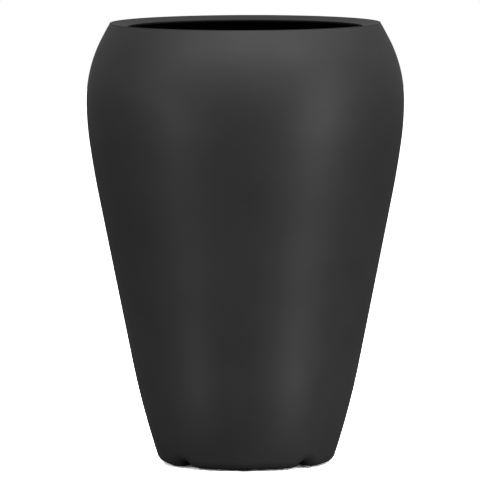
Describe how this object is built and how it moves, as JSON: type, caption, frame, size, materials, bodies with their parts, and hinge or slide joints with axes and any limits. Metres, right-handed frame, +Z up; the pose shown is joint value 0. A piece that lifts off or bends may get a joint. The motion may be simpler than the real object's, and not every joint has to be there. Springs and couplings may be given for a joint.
{
  "type": "floor planter",
  "caption": "Tall round floor planter with a wide belly, an in-turned rim lip, scalloped feet and a stoppered drain in the floor.",
  "frame": {"origin": "on the ground under the middle of the planter, at the height of the pads' lower faces", "axes": "+Z up along the planter's axis, -Y towards the front, +X to the right seen from the front"},
  "size_m": [0.6564, 0.6564, 0.914],
  "materials": {
    "gelcoated_laminate": "matt charcoal gelcoat on hand-laid glass laminate",
    "inside_laminate": "black flow-coated glass laminate with a faint mat texture",
    "rigid_foam": "rigid closed-cell foam, flow-coated black",
    "marine_plywood": "sealed plywood",
    "moulded_fitting": "injection moulded, fine matt grain",
    "black_rubber": "matt"
  },
  "bodies": {
    "planter": {"planter_shell": "gelcoated_laminate", "rim_lip": "gelcoated_laminate", "rim_core": "rigid_foam", "floor_core": "marine_plywood", "floor_tray": "inside_laminate", "drain_bushing": "moulded_fitting", "drain_gasket": "black_rubber", "drain_locknut": "moulded_fitting", "foot_pad_front": "black_rubber", "foot_pad_right": "black_rubber", "foot_pad_back": "black_rubber", "foot_pad_left": "black_rubber"},
    "stopper": {"drain_plug": "moulded_fitting", "plug_seal": "black_rubber"}
  },
  "joints": [
    {"name": "stopper_lift", "type": "slide", "parent": "planter", "child": "stopper", "axis": [0, 0, 1], "range_m": [0, 0.9]}
  ]
}
